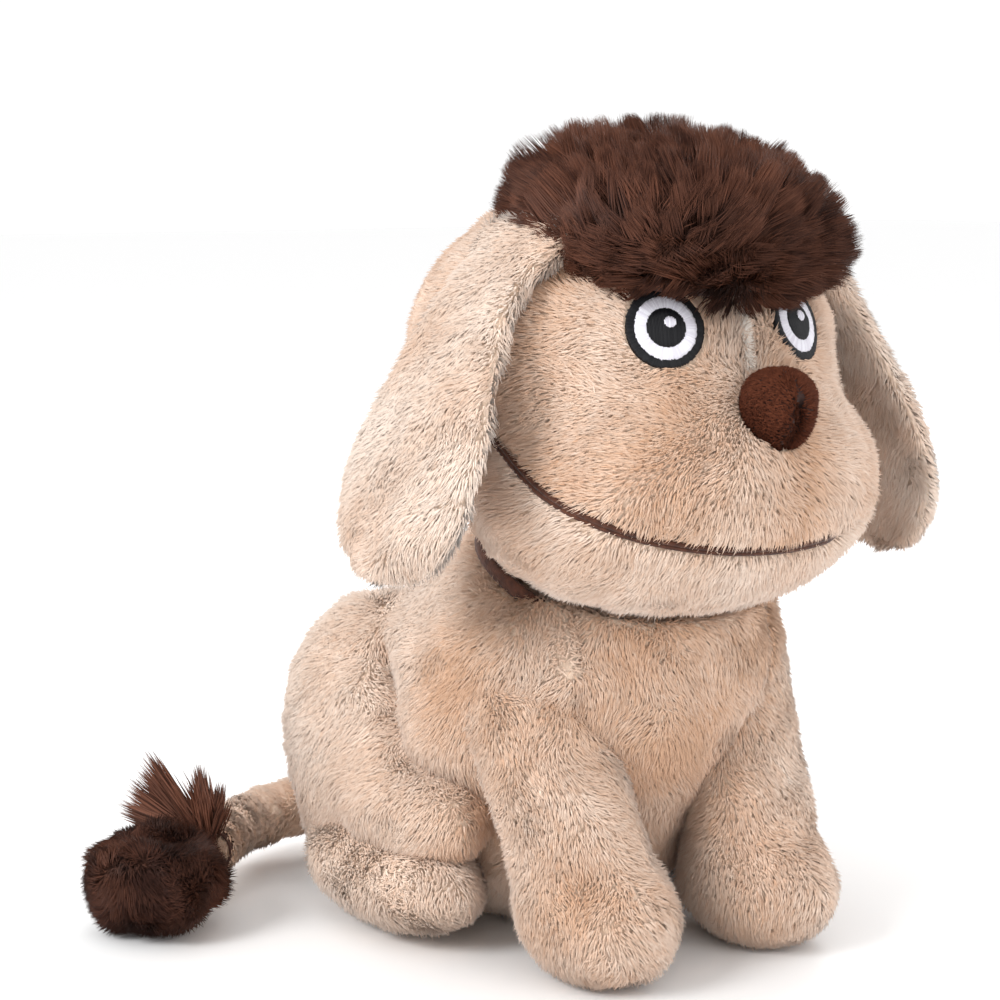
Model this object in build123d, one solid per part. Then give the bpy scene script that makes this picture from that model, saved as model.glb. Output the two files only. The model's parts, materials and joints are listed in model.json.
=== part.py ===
from build123d import *
import os

# A sitting plush dog, in millimetres. The dog faces -Y, its left side is +X and +Z is up.
# The origin is on the flat underside panel, in the mirror plane, below the neck.

# Driving dimensions: cloth and clearances
plush_thickness = 3.0          # backing cloth and its short pile
fill_gap = 0.3                 # between a cover and the stuffing inside it
body_gap = 0.6                 # between two bodies that move on each other
felt_thickness = 1.2           # mouth lining
sole_height = 0.4              # soles and tassel sit this much above the seat panel

# Torso: each form is a centre and three radii
rump = ((0, 36, 40), (46, 46, 48))
belly = ((0, 8, 30), (36, 30, 34))
chest = ((0, -8, 76), (40, 36, 42))
haunch = ((36, 43, 42), (22, 38, 41.5))
base_thickness = 1.5
bean_pouch_form = ((0, 33, 27), (28, 26, 18))
pouch_cloth = 0.8
chest_panel_width = 56

# Neck plane: the tilted flat that the head turns on
neck_centre = (0, -6, 91)
neck_tilt = 28                 # degrees, the front is lower
neck_pivot = (0, -10, 100)
neck_ball_radius = 24
collar_thickness = 1.8
collar_outer_radius = 35
head_lift = 6.5                # height of the head's opening above the neck plane
jaw_lift = 8.0

# Head
cranium = ((0, -10, 147), (57, 42, 42))
muzzle = ((0, -29, 117), (53, 45, 32.5))
jaw_hinge = (-14, 140.5)       # y and z
mouth_slope = 0.58
jaw_recess_radius = 33
nose = ((0, -68, 136), (10, 7.5, 10.5))
nose_cloth = 1.2

# Eyes: embroidered rings on the cranium
eye_centre = (20, -49, 154.5)
eye_rim_radius = 8.8
eye_white_radius = 7.0
eye_pupil_radius = 4.3
eye_glint_radius = 1.2
embroidery = 1.0
glint_rise = 0.7

# Hair tuft
tuft = ((0, -28, 179), (41, 40, 24))
tuft_backing_thickness = 1.4

# Ears: a band that leaves the side of the head and slopes down in one gentle arc
ear_arc_centre = (-51, 79)     # x and z
ear_arc_radius = 130
ear_thickness = 9.0
ear_panel = 3.2
ear_y = -22
ear_root_x = 43
ear_root_width = 30
ear_tip_radius = 22
ear_tip_z = 94
ear_head_gap = 1.4

# Forelegs
shoulder = (30, -14, 62)
shoulder_radius = 19
ankle = (25.5, -31, 22)
leg_radius = 17
foreleg_pocket_top = 68        # room for the top of the leg as it swings forwards
pocket_floor = -10             # below everything the dog stands on
fore_foot = ((25, -35, 14.5), (18, 22, 16.5))

# Hind feet
hind_foot = ((46, 24, 12.8), (17, 33, 13.5))
heel = (41, 46)                # x and y of the axis the foot splays about
splay_steps = (7, 14, 21)       # degrees

# Tail
tail_points = ((-8, 86, 19), (-50, 92, 14), (-80, 69, 16))
tail_radius = 6
tail_cloth = 2.5
tassel = ((-96, 56, 19.4), (19, 19, 19))
binding_radius = 7.2
binding_width = 5

far = 200                      # larger than the whole dog

os.makedirs("parts", exist_ok=True)


def save(name, shape):
    export_step(shape, "parts/" + name + ".step")


def save_pair(name, shape, side):
    """A part made on one side (+1 is the left), and its mirror image on the other."""
    word, other = ("left", "right") if side > 0 else ("right", "left")
    save(name + "_" + word, shape)
    save(name + "_" + other, mirror(shape, about=Plane.YZ))


def blob(form, inset=0.0, side=1):
    """An ellipsoid, its surface pulled in by inset, on the left (+1) or right (-1) side."""
    centre, radii = form
    ball = scale(Sphere(1), by=tuple(radius - inset for radius in radii))
    return Pos(side * centre[0], centre[1], centre[2]) * ball


def slab(z_low, z_high):
    """Everything between two levels."""
    return Pos(0, 0, (z_low + z_high) / 2) * Box(far * 2, far * 2, z_high - z_low)


def side_half(side):
    """Everything on one side of the mirror plane."""
    return Pos(side * far / 2, 0, far / 2) * Box(far, far * 2, far * 2)


def neck_slab(low, high):
    """A layer parallel to the neck plane, from low to high above it."""
    layer = Pos(0, 0, (low + high) / 2) * Box(far * 2, far * 2, high - low)
    return Pos(*neck_centre) * Rot(neck_tilt, 0, 0) * layer


def rod(start, end, radius):
    """A round bar between two points."""
    line = Vector(*end) - Vector(*start)
    return Solid.make_cylinder(radius, line.length, Plane(origin=start, z_dir=line))


def mirrored(point, side):
    return (side * point[0],) + tuple(point[1:])


def side_profile(points, half_width=far):
    """A flat outline in the YZ plane, carried across the dog."""
    outline = Polyline(*[(0, y, z) for y, z in points], close=True)
    return extrude(make_face(outline), half_width, dir=(1, 0, 0), both=True)


# ---- forelegs ----
def foreleg_form(side, inset=0.0):
    form = Pos(*mirrored(shoulder, side)) * Sphere(shoulder_radius - inset)
    form += rod(mirrored(shoulder, side), mirrored(ankle, side), leg_radius - inset)
    form += blob(fore_foot, inset, side)
    return form - slab(-far, sole_height + inset)


def foreleg_pocket(side, clearance):
    """The room a foreleg needs in the torso, swinging forwards included."""
    room = Pos(*mirrored(shoulder, side)) * Sphere(shoulder_radius + clearance)
    low = (ankle[0] * side, ankle[1], pocket_floor)
    room += rod(mirrored(shoulder, side), low, shoulder_radius + clearance)
    room += blob(fore_foot, -clearance, side)
    front = Box(2 * (shoulder_radius + clearance), far, foreleg_pocket_top - pocket_floor)
    middle_z = (foreleg_pocket_top + pocket_floor) / 2
    return room + Pos(side * shoulder[0], shoulder[1] - far / 2, middle_z) * front


# ---- hind feet ----
def hind_foot_form(side, inset=0.0):
    return blob(hind_foot, inset, side) - slab(-far, sole_height + inset)


def hind_foot_pocket(side, clearance):
    """The room a hind foot needs while it splays outwards about the heel."""
    grown = blob(hind_foot, -clearance, side)
    axis = Axis((side * heel[0], heel[1], 0), (0, 0, side))
    room = grown
    for angle in splay_steps:
        room += grown.rotate(axis, angle)
    return room


# ---- torso ----
def torso_form(inset=0.0):
    form = blob(rump, inset) + blob(belly, inset) + blob(chest, inset)
    form -= neck_slab(-inset, far)
    form -= slab(-far, base_thickness if inset else 0)
    for side in (-1, 1):
        form -= foreleg_pocket(side, body_gap + inset)
        form -= hind_foot_pocket(side, body_gap + inset)
    return form


def torso_parts():
    whole = torso_form()
    base = whole & slab(0, base_thickness)
    save("base_panel", base)
    shell = whole - slab(-far, base_thickness) - torso_form(plush_thickness)
    front = Pos(0, -far / 2, 0) * Box(chest_panel_width, far, 2 * far)
    save("chest_panel", shell & front)
    sides = shell - front
    save("body_side_left", sides & side_half(1))
    save("body_side_right", sides & side_half(-1))
    pouch = blob(bean_pouch_form)
    filling = torso_form(plush_thickness + fill_gap) - blob(bean_pouch_form, -fill_gap)
    save("torso_stuffing", filling - slab(-far, base_thickness + fill_gap))
    save("bean_pouch", pouch - blob(bean_pouch_form, pouch_cloth))
    save("bean_filling", blob(bean_pouch_form, pouch_cloth + fill_gap))


def haunch_parts():
    cover = blob(haunch) - blob(haunch, plush_thickness)
    filling = blob(haunch, plush_thickness + fill_gap)
    for core in (rump, belly, chest):
        cover -= blob(core, -fill_gap)
        filling -= blob(core, -fill_gap)
    cover = cover - hind_foot_pocket(1, body_gap) - slab(-far, sole_height)
    filling -= hind_foot_pocket(1, body_gap + plush_thickness)
    filling -= slab(-far, sole_height + plush_thickness)
    save_pair("haunch_cover", cover, 1)
    save_pair("haunch_stuffing", filling, 1)


# ---- neck ----
def neck_parts():
    collar = Cylinder(collar_outer_radius, collar_thickness) - Cylinder(neck_ball_radius + 1, far)
    height = body_gap + collar_thickness / 2
    save("neck_collar", Pos(*neck_centre) * Rot(neck_tilt, 0, 0) * Pos(0, 0, height) * collar)
    below = neck_slab(-far, body_gap)
    ball = Pos(*neck_pivot) * Sphere(neck_ball_radius) - below
    core = Pos(*neck_pivot) * Sphere(neck_ball_radius - plush_thickness) - below
    save("neck_cover", ball - core)
    filling = Pos(*neck_pivot) * Sphere(neck_ball_radius - plush_thickness - fill_gap)
    save("neck_stuffing", filling - below)


# ---- head ----
def mouth_region(rise, back):
    """Everything under the mouth plane raised by rise, in front of the level back."""
    hinge_y, hinge_z = jaw_hinge
    front_y = -far
    front_z = hinge_z + mouth_slope * (front_y - hinge_y)
    corners = [(back, hinge_z + rise + mouth_slope * (back - hinge_y))]
    corners += [(front_y, front_z + rise), (front_y, -far), (back, -far)]
    return side_profile(corners)


def head_form(inset=0.0, lift=head_lift):
    form = blob(cranium, inset) + blob(muzzle, inset)
    return form - neck_slab(-far, lift + inset)


def head_parts():
    lip = mouth_region(body_gap / 2, jaw_hinge[0] + 2)
    above_lining = mouth_region(body_gap / 2 + felt_thickness, jaw_hinge[0] + 2)
    socket = Pos(*neck_pivot) * Sphere(neck_ball_radius + body_gap)
    outer = head_form() - lip - socket
    shell = outer - above_lining - head_form(plush_thickness)
    save("head_cover_left", shell & side_half(1))
    save("head_cover_right", shell & side_half(-1))
    save("mouth_lining_upper", (head_form(1) & above_lining) - lip - socket)
    wide_socket = Pos(*neck_pivot) * Sphere(neck_ball_radius + body_gap + fill_gap)
    over_lining = mouth_region(body_gap / 2 + felt_thickness + fill_gap, jaw_hinge[0] + 2.3)
    save("head_stuffing", head_form(plush_thickness + fill_gap) - over_lining - wide_socket)


def jaw_region(drop):
    """The jaw's own room: under the mouth plane, ahead of a back face that leans forwards."""
    hinge_y, hinge_z = jaw_hinge
    front_z = hinge_z + mouth_slope * (-far - hinge_y)
    corners = [(hinge_y - 1, hinge_z - drop), (-far, front_z - drop), (-far, 0), (hinge_y - 22, 0)]
    return side_profile(corners)


def jaw_parts():
    recess = Pos(*neck_pivot) * Sphere(jaw_recess_radius)
    lining_top = jaw_region(body_gap / 2)
    lining_floor = jaw_region(body_gap / 2 + felt_thickness)
    outer = head_form(0, jaw_lift) - recess
    shell = (outer & lining_floor) - head_form(plush_thickness, jaw_lift)
    save("jaw_cover", shell)
    save("mouth_lining_lower", ((head_form(1, jaw_lift) - recess) & lining_top) - lining_floor)
    under_lining = jaw_region(body_gap / 2 + felt_thickness + fill_gap)
    filling = head_form(plush_thickness + fill_gap, jaw_lift) & under_lining
    save("jaw_stuffing", filling - Pos(*neck_pivot) * Sphere(jaw_recess_radius + plush_thickness))


def nose_parts():
    face = blob(cranium, -0.2) + blob(muzzle, -0.2)
    save("nose_cover", blob(nose) - blob(nose, nose_cloth) - face)
    save("nose_stuffing", blob(nose, nose_cloth + fill_gap) - face)


# ---- eyes ----
def eye_parts(side, word):
    centre = Vector(*mirrored(eye_centre, side))
    middle, radii = cranium
    slope = [(tuple(centre)[i] - middle[i]) / radii[i] ** 2 for i in range(3)]
    normal = Vector(*slope).normalized()
    start = centre - normal * 8

    def disc(radius):
        return Solid.make_cylinder(radius, 16, Plane(origin=start, z_dir=normal))

    thread = blob(cranium, -0.1 - embroidery) - blob(cranium, -0.1)
    save("eye_rim_" + word, thread & (disc(eye_rim_radius) - disc(eye_white_radius)))
    save("eye_white_" + word, thread & (disc(eye_white_radius) - disc(eye_pupil_radius)))
    save("eye_pupil_" + word, thread & disc(eye_pupil_radius))
    raised = blob(cranium, -0.1 - embroidery - glint_rise) - blob(cranium, -0.1 - embroidery)
    glint_start = start + Vector(side * 0.8, 0, 1.4)
    glint = Solid.make_cylinder(eye_glint_radius, 16, Plane(origin=glint_start, z_dir=normal))
    save("eye_glint_" + word, raised & glint)


# ---- hair tuft ----
def tuft_parts():
    top = blob(tuft)
    backing_top = blob(cranium, -0.2 - tuft_backing_thickness)
    backing = (top & backing_top) - blob(cranium, -0.2) - blob(muzzle, -0.2)
    pile = top - backing_top - blob(muzzle, -0.2)
    for side in (-1, 1):
        eye_room = Pos(*mirrored(eye_centre, side)) * Sphere(eye_rim_radius + 1.5)
        backing -= eye_room
        pile -= eye_room
    save("tuft_backing", backing)
    save("tuft_pile", pile)


# ---- ears ----
def ear_band(side, low, high):
    """The ear's arc between two distances from the arc's centre, outside the root."""
    arc_x, arc_z = ear_arc_centre
    ring = Cylinder(high, far) - Cylinder(low, far)
    keep = Pos(side * (ear_root_x + far / 2), 0, ear_tip_z + far / 2) * Box(far, far, far)
    return (Pos(side * arc_x, 0, arc_z) * Rot(90, 0, 0) * ring) & keep


def ear_outline(side, inset=0.0):
    """The ear seen from the side: a narrow root that widens to a round tip."""
    tip_z = ear_tip_z + ear_tip_radius
    tip = Pos(side * far / 2, ear_y, tip_z) * Rot(0, 90, 0) * Cylinder(ear_tip_radius - inset, far)
    root = ear_root_width / 2 - inset
    wide = ear_tip_radius - inset
    top = ear_arc_centre[1] + ear_arc_radius
    corners = [(ear_y - wide, tip_z), (ear_y - root, top), (ear_y + root, top), (ear_y + wide, tip_z)]
    return tip + side_profile(corners)


def ear_parts():
    side = -1
    low = ear_arc_radius - ear_thickness / 2
    high = ear_arc_radius + ear_thickness / 2
    head = blob(cranium, -ear_head_gap)
    outline = ear_outline(side)
    save_pair("ear_outer_panel", (ear_band(side, high - ear_panel, high) & outline) - head, side)
    save_pair("ear_inner_panel", (ear_band(side, low, low + ear_panel) & outline) - head, side)
    middle = ear_band(side, low + ear_panel + 0.1, high - ear_panel - 0.1)
    save_pair("ear_padding", (middle & ear_outline(side, 3)) - head, side)


# ---- limbs ----
def foreleg_parts(side, word):
    outer = foreleg_form(side)
    save("foreleg_cover_" + word, outer - foreleg_form(side, plush_thickness))
    save("foreleg_stuffing_" + word, foreleg_form(side, plush_thickness + fill_gap))


def hind_foot_parts(side, word):
    outer = hind_foot_form(side)
    save("hind_foot_cover_" + word, outer - hind_foot_form(side, plush_thickness))
    save("hind_foot_stuffing_" + word, hind_foot_form(side, plush_thickness + fill_gap))


# ---- tail ----
def tail_parts():
    line = ThreePointArc(*tail_points)
    start = Plane(origin=line @ 0, z_dir=line % 0)
    root = Pos(*tail_points[0])

    def tube(radius):
        return sweep(start * Circle(radius), path=line) + root * Sphere(radius)

    along = line % 1
    bind_start = Vector(*tail_points[2]) - along * (binding_width / 2 - 2)
    end = Solid.make_cylinder(binding_radius + 1, far, Plane(origin=bind_start - along * 0.3, z_dir=along))
    save("tail_cover", tube(tail_radius) - tube(tail_radius - tail_cloth) - end)
    save("tail_stuffing", tube(tail_radius - tail_cloth - fill_gap) - end)
    band = Solid.make_cylinder(binding_radius, binding_width, Plane(origin=bind_start, z_dir=along))
    save("tassel_binding", band)
    clear = Solid.make_cylinder(binding_radius + 0.2, binding_width + 0.4,
                                Plane(origin=bind_start - along * 0.2, z_dir=along))
    save("tassel_fibres", blob(tassel) - slab(-far, sole_height) - clear)


torso_parts()
neck_parts()
head_parts()
jaw_parts()
nose_parts()
tuft_parts()
tail_parts()
haunch_parts()
ear_parts()
for side, word in ((1, "left"), (-1, "right")):
    eye_parts(side, word)
    foreleg_parts(side, word)
    hind_foot_parts(side, word)
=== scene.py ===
import json
import math

import bmesh
import bpy
import numpy as np
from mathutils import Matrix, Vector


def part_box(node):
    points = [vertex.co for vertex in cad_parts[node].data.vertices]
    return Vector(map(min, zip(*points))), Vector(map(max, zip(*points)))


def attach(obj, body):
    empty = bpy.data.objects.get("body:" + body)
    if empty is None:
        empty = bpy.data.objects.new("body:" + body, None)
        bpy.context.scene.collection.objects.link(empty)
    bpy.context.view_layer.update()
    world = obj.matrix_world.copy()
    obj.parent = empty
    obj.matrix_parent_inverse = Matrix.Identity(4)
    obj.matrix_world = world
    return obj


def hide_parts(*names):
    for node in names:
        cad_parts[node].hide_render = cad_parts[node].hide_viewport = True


# The plush dog's looks. Lengths are in millimetres and become metres where a mesh or an object is made.
# The dog faces -Y, its left side is +X and +Z is up. side is +1 for its left and -1 for its right.

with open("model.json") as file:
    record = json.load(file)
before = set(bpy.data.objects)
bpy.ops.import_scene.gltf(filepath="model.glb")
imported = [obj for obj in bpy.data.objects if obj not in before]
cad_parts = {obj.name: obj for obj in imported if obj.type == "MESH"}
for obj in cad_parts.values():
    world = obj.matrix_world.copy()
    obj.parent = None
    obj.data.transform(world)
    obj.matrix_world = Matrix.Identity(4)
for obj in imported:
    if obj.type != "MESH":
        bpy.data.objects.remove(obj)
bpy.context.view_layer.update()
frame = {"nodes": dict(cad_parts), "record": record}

MM = 0.001
PILE = 2.4                     # how far the pile stands off the cloth
FUR_SHARE = 1.0
SIDES = {-1: "right", 1: "left"}


def vec(*values):
    return np.array(values, float)


def node_box(node):
    """A CAD node's centre and half size."""
    low, high = (np.array(corner, float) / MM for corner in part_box(node))
    return (low + high) / 2, (high - low) / 2


def joint(name):
    return next(entry for entry in frame["record"]["behaviour"]["joints"] if entry["name"] == name)


def joint_point(name):
    return np.array(joint(name)["pos_m"], float) / MM


# ---------------------------------------------------------------- distance fields
def ellipsoid(p, form):
    centre, radii = form
    q = (p - centre) / radii
    near = np.linalg.norm(q, axis=1)
    steep = np.linalg.norm(q / radii, axis=1)
    return near * (near - 1.0) / np.maximum(steep, 1e-9)


def capsule(p, start, end, radius):
    along = end - start
    t = np.clip(((p - start) @ along) / (along @ along), 0, 1)
    return np.linalg.norm(p - start - t[:, None] * along, axis=1) - radius


def join(a, b, soft):
    """Both solids, with a fillet of about the given size."""
    h = np.clip(0.5 + 0.5 * (b - a) / soft, 0, 1)
    return b * (1 - h) + a * h - soft * h * (1 - h)


def cut(a, b, soft):
    """What both solids share, with a rounded edge."""
    return -join(-a, -b, soft)


def smoothstep(x, low, high):
    t = np.clip((x - low) / (high - low), 0, 1)
    return t * t * (3 - 2 * t)


def ripple(p, size, seed):
    """Smooth noise of about unit height, with bumps of the given size."""
    rng = np.random.default_rng(seed)
    total = np.zeros(len(p))
    for _ in range(7):
        wave = rng.normal(size=3)
        wave *= 2 * math.pi / (size * (0.7 + 0.8 * rng.random())) / np.linalg.norm(wave)
        total += np.sin(p @ wave + rng.random() * 2 * math.pi)
    return total / 2.6


def ripple_vector(p, size, seed):
    return np.stack([ripple(p, size, seed + k) for k in range(3)], 1)


def unit(v):
    return v / np.maximum(np.linalg.norm(v, axis=1), 1e-9)[:, None]


# ---------------------------------------------------------------- the dog's forms
CRANIUM = (vec(0, -10, 147), vec(57, 42, 42))
MUZZLE = (vec(0, -29, 117), vec(53, 45, 32.5))
BROW = (vec(0, -22, 150), vec(44, 33, 22))
RUMP = (vec(0, 36, 40), vec(46, 46, 48))
BELLY = (vec(0, 9, 33), vec(35, 28, 34))
CHEST = (vec(0, -8, 76), vec(40, 36, 42))
HAUNCH = (vec(36, 43, 42), vec(22, 38, 41.5))
HAUNCH_EDGE = (vec(0, 42, 84), vec(0, -0.674, 0.739))     # where the body's side rises over the haunch
NAPE = (vec(0, 6, 84), vec(40, 30, 24))
SIDE = (vec(22, 18, 66), vec(24, 27, 24))
KNEE = (vec(41, 17, 34), vec(18, 27, 17))
FLANK = (vec(26, -8, 70), vec(30, 13, 44), 21.0)          # from shoulder to knee, with its radius
FORELEG_RADIUS = 17.2
BODY_CLEAR = 1.7               # the underside's height above the floor
FOOT_CLEAR = 1.2
HEAD_CLEAR = 0.6               # between the torso's cloth and the head's outer form
CHEST_SEAM_X = 28.0
NECK_CENTRE = vec(0, -6, 91)
NECK_NORMAL = vec(*joint("head_turn")["axis"])
HEAD_CENTRE = vec(0, -14, 150)
JAW_CENTRE = vec(0, -40, 103)
JAW_BACK = -12.0
JAW_OVERLAP = 7.0              # how far the jaw's skin goes on behind the cheek
MOUTH_FRONT_Y = -75.0
LIP_GAP = 0.8
EYE_X, EYE_Z = 19.3, 154.8
EYE_RIM = 9.3
NOSE = node_box("nose_cover")
TUFT_ROOT = (vec(0, -26, 173), vec(36, 35, 17))
TUFT_TIPS = (vec(0, -30, 179), vec(44, 44, 25))
TUFT_SLOPE = vec(-0.05, 0.18, 0)       # the hair stands higher at the back


def above_neck(p):
    return (p - NECK_CENTRE) @ NECK_NORMAL


def mouth_level(y):
    """The height of the mouth line, which rises towards its corners."""
    u = np.clip(y - MOUTH_FRONT_Y, -40.0, 56.0)
    return 103.2 + 0.42 * u + 0.0027 * u * u


def head_shape(p):
    """The head's outer form, pile included."""
    return join(join(ellipsoid(p, CRANIUM), ellipsoid(p, BROW), 10), ellipsoid(p, MUZZLE), 14)


def head_field(p):
    seam = np.exp(-(p[:, 0] / 1.2) ** 2) * smoothstep(-p[:, 1], 20, 35) * smoothstep(p[:, 2], 136, 142)
    return head_shape(p) + PILE + 0.6 * seam


def upper_head_field(p):
    jaw_room = np.maximum((p[:, 2] - mouth_level(p[:, 1]) - LIP_GAP) * 0.85, p[:, 1] - JAW_BACK)
    return cut(cut(head_field(p), -jaw_room, 3.0), 4.5 - above_neck(p), 4.0)


def jaw_field(p):
    lip = (p[:, 2] - mouth_level(p[:, 1]) + LIP_GAP) * 0.85
    jaw = cut(cut(head_field(p), lip, 3.0), p[:, 1] - JAW_BACK - JAW_OVERLAP, 4.0)
    return cut(jaw, 5.5 - above_neck(p), 4.0)


def torso_field(p):
    q = p.copy()
    q[:, 0] = np.abs(q[:, 0])
    core = join(ellipsoid(q, RUMP), ellipsoid(q, BELLY), 14)
    core = join(core, ellipsoid(q, CHEST), 26)
    core = join(core, ellipsoid(q, NAPE), 14)
    core = join(core, ellipsoid(q, SIDE), 10)
    core = join(core, capsule(q, *FLANK), 12)
    haunch = cut(ellipsoid(q, HAUNCH), (q - HAUNCH_EDGE[0]) @ HAUNCH_EDGE[1], 14)
    haunch = join(haunch, ellipsoid(q, KNEE), 8)
    hip = smoothstep(q[:, 2], 64, 78)
    crease = 2.8 * np.exp(-((core - haunch) / 3.2) ** 2) * smoothstep(q[:, 0], 15, 26) * (1 - hip)
    seam = 1.3 * np.exp(-((q[:, 0] - CHEST_SEAM_X) / 1.5) ** 2) * smoothstep(-q[:, 1], 10, 20)
    body = join(core, haunch, 3 + 12 * hip) + crease + seam + PILE + 0.35 * ripple(p, 30, 3)
    rise = 2.0 + 18.0 * smoothstep(-p[:, 1], 12, 34)
    body = cut(body, above_neck(p) - rise, 6.0)
    body = cut(body, HEAD_CLEAR - head_shape(p), 2.0)
    return cut(body, BODY_CLEAR - p[:, 2], 2.5)


def foreleg_form(side):
    """A foreleg's field and a point inside it."""
    shoulder = joint_point("foreleg_swing_" + SIDES[side])
    ankle = vec(side * 25.5, -31, 22)
    foot = (vec(side * 25, -34, 14.5), vec(18.5, 23, 16.5))

    def field(p):
        leg = join(capsule(p, shoulder, ankle, FORELEG_RADIUS), ellipsoid(p, foot), 6)
        ankle_fold = 1.2 * np.exp(-((p[:, 2] - 27) / 2.5) ** 2) * smoothstep(-p[:, 1], 34, 44)
        leg = leg + ankle_fold + PILE + 0.3 * ripple(p, 22, 11 + side)
        return cut(leg, FOOT_CLEAR - p[:, 2], 4.0)
    return field, (shoulder + ankle) / 2


def hind_foot_form(side):
    """A hind foot's field and a point inside it."""
    form = (vec(side * 45, 25, 15.0), vec(17, 34, 15.0))

    def field(p):
        foot = ellipsoid(p, form) + PILE + 0.3 * ripple(p, 20, 21 + side)
        return cut(foot, FOOT_CLEAR - p[:, 2], 4.0)
    return field, form[0]


# ---------------------------------------------------------------- meshes
def make_object(name, verts, tris, materials, tones=None, normals=None):
    """An object from arrays of points in millimetres and triangles."""
    mesh = bpy.data.meshes.new(name)
    tris = np.asarray(tris, np.int32)
    mesh.vertices.add(len(verts))
    mesh.vertices.foreach_set("co", (np.asarray(verts, np.float32) * MM).ravel())
    mesh.loops.add(tris.size)
    mesh.loops.foreach_set("vertex_index", tris.ravel())
    mesh.polygons.add(len(tris))
    mesh.polygons.foreach_set("loop_start", np.arange(0, tris.size, 3, dtype=np.int32))
    for material in materials:
        mesh.materials.append(material)
    if tones is not None:
        mesh.polygons.foreach_set("material_index", np.asarray(tones, np.int32))
    mesh.polygons.foreach_set("use_smooth", np.full(len(tris), True))
    mesh.update(calc_edges=True)
    mesh.validate()
    if normals is not None:
        mesh.normals_split_custom_set_from_vertices(np.asarray(normals, np.float32))
    piece = bpy.data.objects.new(name, mesh)
    bpy.context.scene.collection.objects.link(piece)
    return piece


def skin_object(name, skin, material):
    return make_object(name, skin[0], skin[1], [material])


def vertex_normals(verts, tris):
    a, b, c = verts[tris[:, 0]], verts[tris[:, 1]], verts[tris[:, 2]]
    face = np.cross(b - a, c - a)
    normals = np.zeros_like(verts)
    for corner in range(3):
        np.add.at(normals, tris[:, corner], face)
    return unit(normals)


def star_skin(field, centre, reach=110.0, level=7):
    """The closed surface of a field, seen from one point inside it."""
    bm = bmesh.new()
    bmesh.ops.create_icosphere(bm, subdivisions=level, radius=1.0)
    rays = unit(np.array([v.co for v in bm.verts], float))
    tris = np.array([[v.index for v in f.verts] for f in bm.faces], np.int32)
    bm.free()
    low = np.zeros(len(rays))
    high = np.full(len(rays), reach)
    found = np.zeros(len(rays), bool)
    for step in np.arange(2.0, reach, 2.0):
        open_rays = np.nonzero(~found)[0]
        if not len(open_rays):
            break
        left = open_rays[field(centre + rays[open_rays] * step) > 0]
        high[left], low[left], found[left] = step, step - 2.0, True
    for _ in range(12):
        middle = (low + high) / 2
        inside = field(centre + rays * middle[:, None]) < 0
        low = np.where(inside, middle, low)
        high = np.where(inside, high, middle)
    verts = centre + rays * low[:, None]
    return verts, tris, vertex_normals(verts, tris)


def ring_skin(rings, capped=True):
    """A closed skin through rings of points, all with the same count."""
    count = rings.shape[1]
    verts = [rings.reshape(-1, 3)]
    index = np.arange(count)
    after = (index + 1) % count
    tris = []
    for i in range(len(rings) - 1):
        low, high = i * count, (i + 1) * count
        tris += [np.stack([low + index, low + after, high + after], 1)]
        tris += [np.stack([low + index, high + after, high + index], 1)]
    if capped:
        first = rings.shape[0] * count
        last = (len(rings) - 1) * count
        verts += [rings[0].mean(0)[None], rings[-1].mean(0)[None]]
        tris.append(np.stack([np.full(count, first), after, index], 1))
        tris.append(np.stack([np.full(count, first + 1), last + index, last + after], 1))
    verts, tris = np.concatenate(verts), np.concatenate(tris)
    faces = np.cross(verts[tris[:, 1]], verts[tris[:, 2]])
    if (verts[tris[:, 0]] * faces).sum() < 0:
        tris = tris[:, ::-1]
    return verts, tris, vertex_normals(verts, tris)


def circle(count):
    """Points round a unit circle, as cosines and sines."""
    turns = np.linspace(0, 2 * math.pi, count, endpoint=False)
    return np.cos(turns), np.sin(turns)


def along_curve(points, samples):
    """Points and directions along a smooth curve through a few points."""
    points = [2 * points[0] - points[1]] + list(points) + [2 * points[-1] - points[-2]]
    spans = len(points) - 3
    places = []
    for s in np.linspace(0, spans, samples):
        i = min(int(s), spans - 1)
        t = s - i
        a, b, c, d = points[i:i + 4]
        places.append(0.5 * (2 * b + (c - a) * t + (2 * a - 5 * b + 4 * c - d) * t ** 2
                             + (3 * b - a - 3 * c + d) * t ** 3))
    places = np.array(places)
    return places, unit(np.gradient(places, axis=0))


# ---------------------------------------------------------------- materials
def principled(name, colour, roughness=0.7, sheen=0.0, specular=0.3):
    material = bpy.data.materials.new(name)
    material.use_nodes = True
    shader = material.node_tree.nodes["Principled BSDF"]
    shader.inputs["Base Color"].default_value = (*colour, 1.0)
    shader.inputs["Roughness"].default_value = roughness
    shader.inputs["Specular IOR Level"].default_value = specular
    shader.inputs["Sheen Weight"].default_value = sheen
    shader.inputs["Sheen Roughness"].default_value = 0.5
    return material


def tones(name, dark, light, count, roughness, sheen, specular):
    """A family of fibre colours, from dark to light."""
    family = []
    for i in range(count):
        colour = np.array(dark) + (np.array(light) - np.array(dark)) * i / (count - 1)
        family.append(principled(f"{name}_{i}", colour, roughness, sheen, specular))
    return family


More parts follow.
